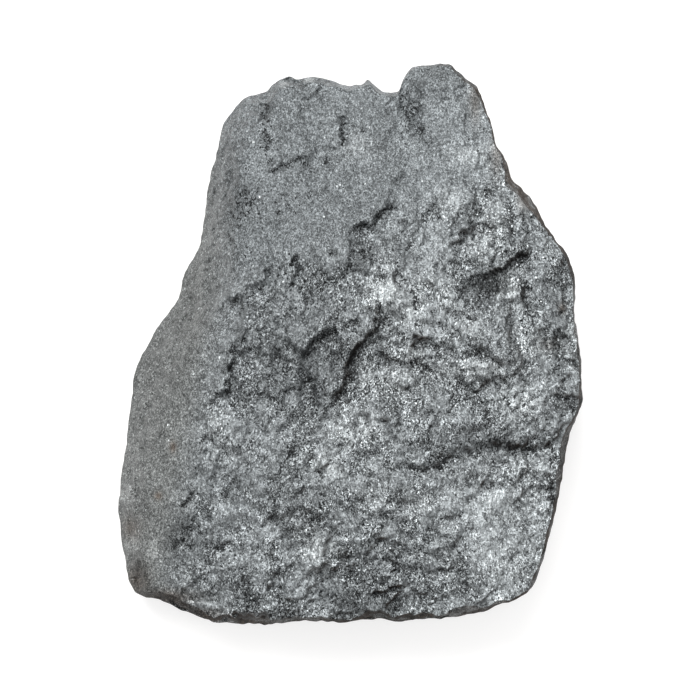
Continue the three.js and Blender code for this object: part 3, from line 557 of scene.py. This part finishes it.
def stoneMasks(points, border, shade, tone, steep, brownWallsAndPaintedShade):
    # what the finish reads at each point, from 0 to 1: bells over the seen face, and fields of the face that
    # the flank takes from the rim above it
    e = np.radians(stone["lookElevation"])
    seenX, seenY = points[:, 0], points[:, 1] * np.sin(e) + points[:, 2] * np.cos(e)
    count, rows = shade.size, stone["flankRows"]
    onFace = np.arange(len(points)) < count
    rest = np.ones(len(points) - count)  # flank and underside
    clusters = np.clip(0.75 + 1.4 * noise(seenX / 2, seenY / 2, 43), 0, 1)
    # painted shade and light, and the face's own tone, in zones over the seen face
    paintedLightAndTone = np.full(len(points), 0.5)
    for at, half, turn, change in stone["zones"]:
        paintedLightAndTone += 0.5 * change * spot(seenX, seenY, at, half, turn)

    # the flank is as brown, with rust and painted shade, as the rim above it, and browner and darker further
    # down
    flank = points[count:count + rows * len(border)].reshape(rows, -1, 3)
    down = np.linspace(0, 1, rows + 1)[1:, None]
    patches = noise((flank[..., 0] + flank[..., 1]) / 3, flank[..., 2] / 2, 34)
    flankBrownAndDarker = np.maximum(brownWallsAndPaintedShade.ravel()[border], ease(1.6 * down - 0.3 + 0.8 * patches))
    brownAndPaintedShade = np.concatenate([brownWallsAndPaintedShade.ravel(), flankBrownAndDarker.ravel(), rest[flankBrownAndDarker.size:]])

    def carried(values):
        # the flank takes a mask's values from the rim and loses half of them on the way down
        faded = values[border] * np.linspace(1, 0.5, rows)[:, None]
        return np.concatenate([values, faded.ravel(), 0 * rest[faded.size:]])

    return {
        "paintedGlintAndCleavage": strongest(stone["paintedGlintsAndCleavage"], seenX, seenY) * onFace,
        "fresh": carried(freshOf(seenX[:count], seenY[:count], stone["brightNorth"])),
        "broken": carried(westOf(seenX[:count], seenY[:count])),
        "paintedLightAndTone": paintedLightAndTone,
        "even": strongest(stone["even"], seenX, seenY),
        "stainAndPaintedShade": strongest(stone["stainsAndPaintedShade"], seenX, seenY),
        "pitted": strongest(stone["pitted"], seenX, seenY) * clusters * onFace,
        "steep": carried(smoothed(steep, 24).ravel()),
        "shade": np.concatenate([shade.ravel(), 0 * rest]),
        "tone": np.concatenate([tone.ravel(), 0.5 * rest]),
        "brownAndPaintedShade": brownAndPaintedShade * wornAt(points),
    }


def makeStone():
    # the upper face is a grid; from its border the flank goes down in rows, and the underside closes in rings
    n = stone["cells"]
    u, v = np.meshgrid(np.linspace(-1, 1, n + 1), np.linspace(-1, 1, n + 1))
    face, shade, tone, brownWallsAndPaintedShade = facePoints(u, v)
    normal = np.cross(np.gradient(face, axis=1), np.gradient(face, axis=0))
    steep = 1 - normal[..., 2] / np.linalg.norm(normal, axis=-1)
    brownWallsAndPaintedShade = brownWallsAndPaintedShade * ease((steep - 0.4) / 0.35)  # only where the face turns down

    # the border of the face, counter-clockwise from its lower right corner
    numbers = np.arange((n + 1) ** 2).reshape(n + 1, n + 1)
    border = np.concatenate([numbers[:-1, -1], numbers[-1, :0:-1], numbers[:0:-1, 0], numbers[0, :-1]])
    count, around = numbers.size, len(border)
    down = np.linspace(1, 0, stone["flankRows"] + 1)[1:, None]
    flank = flankPoints(face.reshape(-1, 3)[border][None], down)

    # the underside has shallow dents that stay above the table
    foot = flank[-1]
    middle = foot.mean(0)
    ring = np.linspace(1, 0, stone["undersideRows"] + 1)[1:-1, None, None]
    underside = middle + (foot - middle) * ring
    dent = 0.5 + noise(underside[..., 0] / 5, underside[..., 1] / 5, 71)
    underside[..., 2] = 0.5 * dent * ease((1 - ring[..., 0]) * 4)
    closing = middle + [0, 0, 0.2]  # the rings close in this point

    points = np.vstack([part.reshape(-1, 3) for part in (face, flank, underside, closing)])
    below = count + np.arange((len(flank) + len(underside)) * around).reshape(-1, around)
    rows = np.vstack([border, below])
    rows = np.hstack([rows, rows[:, :1]])
    last = rows[-1]
    cap = np.stack([last[1:], last[:-1], np.full(around, len(points) - 1)], -1)

    # shift so that the middle of the stone's box is the middle of the CAD solid's box
    low, high = points.min(0), points.max(0)
    cadLow, cadHigh = (np.array(corner) / mm for corner in cadBox)
    shift = (cadLow + cadHigh) / 2 - (low + high) / 2
    shift[2] = cadLow[2] - low[2]

    mesh = bpy.data.meshes.new("hematiteStone")
    faces = np.vstack([quads(numbers), quads(rows[::-1])]).tolist() + cap.tolist()
    mesh.from_pydata(((points + shift) * mm).tolist(), [], faces)
    for name, values in stoneMasks(points, border, shade, tone, steep, brownWallsAndPaintedShade).items():
        layer = mesh.attributes.new(name, "FLOAT", "POINT")
        layer.data.foreach_set("value", np.clip(values, 0, 1).astype(np.float32))
    mesh.polygons.foreach_set("use_smooth", np.ones(len(mesh.polygons), bool))
    mesh.update()
    piece = bpy.data.objects.new("hematiteStone", mesh)
    bpy.context.scene.collection.objects.link(piece)
    triangles = 2 * (len(faces) - around) + around
    print("stone made:", len(points), "points,", triangles, "triangles, shift", shift.round(3))
    return piece, shift


finish = {
    "stretch": (1150, 880, 700),  # pattern units per metre: grains are drawn out along y, and more upwards
    "grain": 4.2,  # grains per unit
    "fineGrain": 7.0,
    "hairlines": [(0.4, 0.07, 0.46), (1.0, 0.1, 0.48)],  # cells per unit, width, noise at which they start
    # how far each pattern swings the tone, on calm ground and on the fresh break
    "swings": {
        "chips": (0.15, 0.65), "patch": (0.3, 0.6), "mottle": (0.55, 0.8), "streak": (0.3, 1.1),
        "speck": (1.0, 1.2), "grain": (0.55, 0.65), "fineGrain": (0.95, 1.55),
    },
    "leastSwing": 0.15,
    "grainLean": (0.3, 0.6),  # of the normal, on calm ground and on the fresh break
    "bumpStrength": 0.6,
    "bumpDistance": 0.0004,
    "metallic": 0.6,
    "specular": 0.25,
    "dullRoughness": 0.55,
    "freshRoughness": 0.42,
    "cleavageRoughness": 0.3,
    "wallRoughness": 0.95,
    "paintedShadeDark": 0.9,  # share of the tone that the painted shade of cracks, pits and ledges takes
    # the more even tone of the painted glint
    "paintedGlintTone": 1.15,
    "greySteel": (0.134, 0.14, 0.138, 1),  # the western flank
    "dullSteel": (0.132, 0.143, 0.148, 1),  # the north
    "steel": (0.203, 0.218, 0.224, 1),
    # the colour of the painted highlight on cleavage
    "silver": (0.4, 0.425, 0.43, 1),
    # brown stains, and painted shade at the lower left corner
    "stainAndPaintedShade": (0.085, 0.07, 0.058, 1),
    # rust on the walls, made dark as painted shade
    "rust": (0.036, 0.029, 0.024, 1),
}


def addNode(tree, kind, values=None, **settings):
    # a new node; each value is linked to its input, or set on it where it is a constant
    node = tree.nodes.new(kind)
    for name, value in settings.items():
        setattr(node, name, value)
    for socket, value in (values or {}).items():
        if isinstance(value, bpy.types.NodeSocket):
            tree.links.new(value, node.inputs[socket])
        else:
            node.inputs[socket].default_value = value
    return node


def sums(tree, operation, a, b=0.0, c=0.0):
    # one step of arithmetic on numbers
    return addNode(tree, "ShaderNodeMath", {0: a, 1: b, 2: c}, operation=operation).outputs[0]


def vectors(tree, operation, a, b=(0, 0, 0), scale=None):
    # one step of arithmetic on vectors
    values = {0: a, 1: b}
    if scale is not None:
        values["Scale"] = scale
    return addNode(tree, "ShaderNodeVectorMath", values, operation=operation).outputs[0]


def blend(tree, kind, share, a, b):
    # from a to b by the share, for numbers or colours
    sockets = {"FLOAT": (0, 2, 3), "RGBA": (0, 6, 7)}[kind]
    node = addNode(tree, "ShaderNodeMix", dict(zip(sockets, (share, a, b))), data_type=kind)
    return node.outputs[{"FLOAT": 0, "RGBA": 2}[kind]]


def makeHematite():
    # steel in four tones, one a painted glint, blended by the stone's masks, times a tone of many patterns
    # and painted light, darkened by painted shade in cracks, pits and below ledges
    material = bpy.data.materials.new("hematite")
    material.use_nodes = True
    tree = material.node_tree
    shader = tree.nodes["Principled BSDF"]
    mask = {
        name: addNode(tree, "ShaderNodeAttribute", attribute_name=name).outputs["Fac"]
        for name in ("paintedGlintAndCleavage", "fresh", "broken", "paintedLightAndTone", "even", "stainAndPaintedShade", "pitted", "steep", "shade", "tone",
                     "brownAndPaintedShade")
    }
    place = addNode(tree, "ShaderNodeTexCoord").outputs["Object"]
    place = addNode(tree, "ShaderNodeMapping", {"Vector": place, "Scale": finish["stretch"]}).outputs[0]

    def field(scale, detail, roughness=0.6):
        # noise over the stone, around 0.5
        values = {"Vector": place, "Scale": scale, "Detail": detail, "Roughness": roughness}
        return addNode(tree, "ShaderNodeTexNoise", values)

    def ramp(value, low, high):
        # 0 at low and 1 at high, straight between them and level beyond
        return addNode(tree, "ShaderNodeMapRange", {0: value, 1: low, 2: high}).outputs[0]

    def times(a, b):
        # a b
        return sums(tree, "MULTIPLY", a, b)

    def scaled(a, factor, offset):
        # a factor + offset
        return sums(tree, "MULTIPLY_ADD", a, factor, offset)

    def higher(a, b):
        # the larger of two numbers
        return sums(tree, "MAXIMUM", a, b)

    def between(share, a, b):
        # from a to b by the share
        return blend(tree, "FLOAT", share, a, b)

    half = (0.5, 0.5, 0.5)
    patch, mottle, speck = field(0.4, 2.0), field(1.5, 4.0, 0.7), field(4.2, 1.0, 0.6)
    wander = vectors(tree, "SUBTRACT", mottle.outputs["Color"], half)
    wander = vectors(tree, "ADD", place, vectors(tree, "SCALE", wander, scale=2.2))
    grain = addNode(tree, "ShaderNodeTexVoronoi", {"Vector": place, "Scale": finish["grain"]})
    fine = addNode(tree, "ShaderNodeTexVoronoi", {"Vector": place, "Scale": finish["fineGrain"]})
    # three random numbers for each grain
    luck = addNode(tree, "ShaderNodeSeparateColor", {0: grain.outputs["Color"]}).outputs
    fineLuck = addNode(tree, "ShaderNodeSeparateColor", {0: fine.outputs["Color"]}).outputs
    run = {"Vector": place, "Rotation": (0, 0, 0.4), "Scale": (3.2, 1.0, 2.0)}
    run = addNode(tree, "ShaderNodeMapping", run).outputs[0]
    streak = {"Vector": run, "Scale": 1.0, "Detail": 3.0, "Roughness": 0.65}
    streak = addNode(tree, "ShaderNodeTexNoise", streak).outputs["Fac"]

    # gritty zones and smoother cleavage alternate over a few millimetres
    gritty = ramp(scaled(mask["tone"], -0.2, field(0.3, 3.0).outputs["Fac"]), 0.3, 0.5)
    gritty = between(mask["fresh"], 0.75, gritty)

    # painted shade in hairline cracks, which run between cells of two sizes, along wandering lines, and only
    # in some patches
    paintedCrackAndPitShade = 0.0
    for size, width, start in finish["hairlines"]:
        cells = {"Vector": wander, "Scale": size}
        cells = addNode(tree, "ShaderNodeTexVoronoi", cells, feature="DISTANCE_TO_EDGE").outputs["Distance"]
        where = ramp(field(0.3 + size * 0.4, 2.0).outputs["Fac"], start, start + 0.12)
        paintedCrackAndPitShade = higher(times(ramp(cells, width, 0.0), where), paintedCrackAndPitShade)
    # painted shade in small pits between the grains, fewer in the north and fewest on the western flank
    pits = scaled(mask["fresh"], -0.05, field(3.1, 3.0, 0.65).outputs["Fac"])
    pits = scaled(mask["broken"], -0.03, pits)
    pits = scaled(mask["pitted"], -0.06, pits)
    pits = scaled(fineLuck[1], 0.08, pits)
    pits = times(ramp(pits, 0.38, 0.335), scaled(gritty, 0.8, 0.2))
    paintedCrackAndPitShade = higher(times(paintedCrackAndPitShade, scaled(mask["fresh"], 0.6, 0.4)), pits)
    # the pitted stretches are full of short black ticks of painted shade
    ticks = scaled(mask["pitted"], -0.22, field(2.2, 1.0, 0.5).outputs["Fac"])
    paintedCrackAndPitShade = higher(paintedCrackAndPitShade, ramp(ticks, 0.26, 0.23))
    # painted shade: a ragged black line follows every ledge and open crack, with black grains scattered
    # beside it
    foot = scaled(mottle.outputs["Fac"], 1.2, -0.6)
    for own in (luck[0], fineLuck[0]):
        foot = sums(tree, "ADD", foot, scaled(own, 0.7, -0.35))
    foot = ramp(sums(tree, "ADD", mask["shade"], foot), 0.4, 0.55)
    paintedCrackAndPitShade = higher(paintedCrackAndPitShade, times(foot, ramp(mask["shade"], 0.04, 0.2)))

    # painted highlights: cleavage glints in patches that streaks break up; single grains sparkle in gritty
    # zones
    paintedGlintAndCleavage = times(scaled(streak, 3.6, -1.1), mask["paintedGlintAndCleavage"])
    paintedSparkle = times(ramp(luck[1], 0.94, 0.99), scaled(gritty, 0.5, 0.1))
    paintedGlintAndCleavage = higher(paintedGlintAndCleavage, times(paintedSparkle, scaled(mask["fresh"], 0.8, 0.2)))
    # and a few grains are painted with a flash of highlight anywhere on the stone
    paintedGlintAndCleavage = higher(times(paintedGlintAndCleavage, mask["broken"]), ramp(luck[0], 0.9965, 0.998))
    paintedGlintAndCleavage = addNode(tree, "ShaderNodeClamp", {0: paintedGlintAndCleavage}).outputs[0]

    # every grain lies its own way: the normal leans by the grain's own random vector
    lean = vectors(tree, "SUBTRACT", grain.outputs["Color"], half)
    lean = vectors(tree, "ADD", lean, vectors(tree, "SUBTRACT", fine.outputs["Color"], half))
    lean = vectors(tree, "SCALE", lean, scale=between(mask["fresh"], *finish["grainLean"]))
    bump = {"Strength": finish["bumpStrength"], "Distance": finish["bumpDistance"]}
    bump["Height"] = mottle.outputs["Fac"]
    bump = addNode(tree, "ShaderNodeBump", bump).outputs[0]
    normal = vectors(tree, "NORMALIZE", vectors(tree, "ADD", bump, lean))
    tree.links.new(normal, shader.inputs["Normal"])

    # each pattern swings the tone about 1, more on the fresh break and where it is gritty; where the face
    # falls away its grain is foreshortened, and made up for
    grit = times(scaled(gritty, 0.9, 0.32), sums(tree, "SUBTRACT", 1.0, mask["even"]))
    grit = times(grit, scaled(mask["steep"], 1.2, 1.0))
    broad = scaled(grit, 0.5, 0.45)  # chips and streaks show on the even stretches too
    patterns = {
        "chips": (mask["tone"], broad),
        "patch": (patch.outputs["Fac"], grit),
        "mottle": (mottle.outputs["Fac"], grit),
        "streak": (streak, broad),
        "speck": (speck.outputs["Fac"], grit),
        "grain": (luck[2], grit),
        "fineGrain": (fineLuck[2], grit),
    }
    tone = 1.0
    for name, (value, where) in patterns.items():
        swing = times(between(mask["fresh"], *finish["swings"][name]), where)
        swing = scaled(sums(tree, "SUBTRACT", value, 0.5), swing, 1.0)
        tone = times(higher(swing, finish["leastSwing"]), tone)
    tone = between(times(paintedGlintAndCleavage, 0.7), tone, finish["paintedGlintTone"])  # the painted glint on cleavage is more even
    # the zones darken and lighten the tone: painted shade and light, and the face's own tone
    tone = times(tone, times(mask["paintedLightAndTone"], 2.0))

    # the glint is a painted highlight; the stains and the brown walls also hold painted shade
    colour = finish["greySteel"]
    for share, name in (
        (mask["broken"], "dullSteel"), (mask["fresh"], "steel"), (paintedGlintAndCleavage, "silver"), (mask["stainAndPaintedShade"], "stainAndPaintedShade"),
        (mask["brownAndPaintedShade"], "rust"),
    ):
        colour = blend(tree, "RGBA", share, colour, finish[name])
    # the painted shade takes its share of the tone
    dark = scaled(paintedCrackAndPitShade, -finish["paintedShadeDark"], 1.0)
    colour = vectors(tree, "SCALE", colour, scale=times(tone, dark))
    tree.links.new(colour, shader.inputs["Base Color"])

    rough = between(mask["fresh"], finish["dullRoughness"], finish["freshRoughness"])
    rough = between(paintedGlintAndCleavage, rough, finish["cleavageRoughness"])
    rough = between(mask["brownAndPaintedShade"], rough, finish["wallRoughness"])
    tree.links.new(rough, shader.inputs["Roughness"])
    tree.links.new(between(mask["brownAndPaintedShade"], finish["metallic"], 0.0), shader.inputs["Metallic"])
    shader.inputs["Specular IOR Level"].default_value = finish["specular"]
    print("finish made: hematite,", len(tree.nodes), "nodes")
    return material


studio = {
    "floorHalf": 1.5,
    "floorColour": (0.4, 0.395, 0.39, 1),
    "floorRoughness": 0.9,
    "floorGlow": 0.68,
    "zenith": 1.25,  # the dome is brightest overhead
    "horizon": 0.35,
    "keyAt": (-0.2, 0.5, 0.9),
    "keySize": 0.7,
    "keyPower": 14.0,
    "cameraDistance": 1.2,
    "sensor": 36.0,
    "imagePixels": 700,
    "pixelsPerMm": 7.03,
    "centrePixel": (350, 343),  # pixel of the photograph where the seen x and y are 0
    "sightHeight": 9.0,  # height of the plane that the camera's scale is set for
}


def makeFloor():
    # a square sheet around the origin, with a glow that brings it close to white
    half = studio["floorHalf"]
    mesh = bpy.data.meshes.new("floor")
    corners = [(-half, -half, 0), (half, -half, 0), (half, half, 0), (-half, half, 0)]
    mesh.from_pydata(corners, [], [(0, 1, 2, 3)])
    floor = bpy.data.objects.new("floor", mesh)
    bpy.context.scene.collection.objects.link(floor)
    paper = bpy.data.materials.new("paleFloor")
    paper.use_nodes = True
    sheet = paper.node_tree.nodes["Principled BSDF"].inputs
    sheet["Base Color"].default_value = studio["floorColour"]
    sheet["Roughness"].default_value = studio["floorRoughness"]
    sheet["Emission Color"].default_value = (1, 1, 1, 1)
    sheet["Emission Strength"].default_value = studio["floorGlow"]
    mesh.materials.append(paper)


def makeLights():
    # a dome whose strength rises evenly from the horizon to the zenith, and a softbox that faces the origin
    world = bpy.data.worlds.new("dome")
    world.use_nodes = True
    sky = world.node_tree
    ray = addNode(sky, "ShaderNodeTexCoord").outputs["Generated"]
    up = addNode(sky, "ShaderNodeSeparateXYZ", {0: ray}).outputs["Z"]
    rise = {0: up, 1: 0.0, 2: 1.0, 3: studio["horizon"], 4: studio["zenith"]}
    rise = addNode(sky, "ShaderNodeMapRange", rise).outputs[0]
    sky.links.new(rise, sky.nodes["Background"].inputs["Strength"])
    sky.nodes["Background"].inputs["Color"].default_value = (1, 1, 1, 1)
    bpy.context.scene.world = world

    lamp = bpy.data.lights.new("softbox", "AREA")
    lamp.size = studio["keySize"]
    lamp.energy = studio["keyPower"]
    box = bpy.data.objects.new("softbox", lamp)
    box.location = studio["keyAt"]
    box.rotation_euler = (-Vector(studio["keyAt"])).to_track_quat("-Z", "Y").to_euler()
    bpy.context.scene.collection.objects.link(box)
    print("floor and lights made")


def makeCamera(shift):
    # looks from the look elevation at the photograph's middle pixel, taken as a point at the sight height;
    # lens = sensor times distance over the width of the picture
    pixel, perMm = studio["imagePixels"] / 2, studio["pixelsPerMm"]
    seenX = (pixel - studio["centrePixel"][0]) / perMm
    seenY = (studio["centrePixel"][1] - pixel) / perMm
    z = studio["sightHeight"]
    target = Vector((seenX + shift[0], planY(seenY, z) + shift[1], z + shift[2])) * mm
    e = np.radians(stone["lookElevation"])
    data = bpy.data.cameras.new("camera")
    data.sensor_width = studio["sensor"]
    data.lens = studio["sensor"] * studio["cameraDistance"] / (studio["imagePixels"] / perMm * mm)
    data.clip_end = 10
    camera = bpy.data.objects.new("camera", data)
    camera.location = target + Vector((0, -np.cos(e), np.sin(e))) * studio["cameraDistance"]
    camera.rotation_euler = (target - camera.location).to_track_quat("-Z", "Y").to_euler()
    bpy.context.scene.collection.objects.link(camera)
    bpy.context.scene.camera = camera
    bpy.context.scene.view_settings.view_transform = "Standard"
    print("camera made at", [round(v, 3) for v in camera.location])


piece, shift = makeStone()
piece.data.materials.append(makeHematite())
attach(piece, "root")
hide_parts("hematite_stone")
makeFloor()
makeLights()
makeCamera(shift)
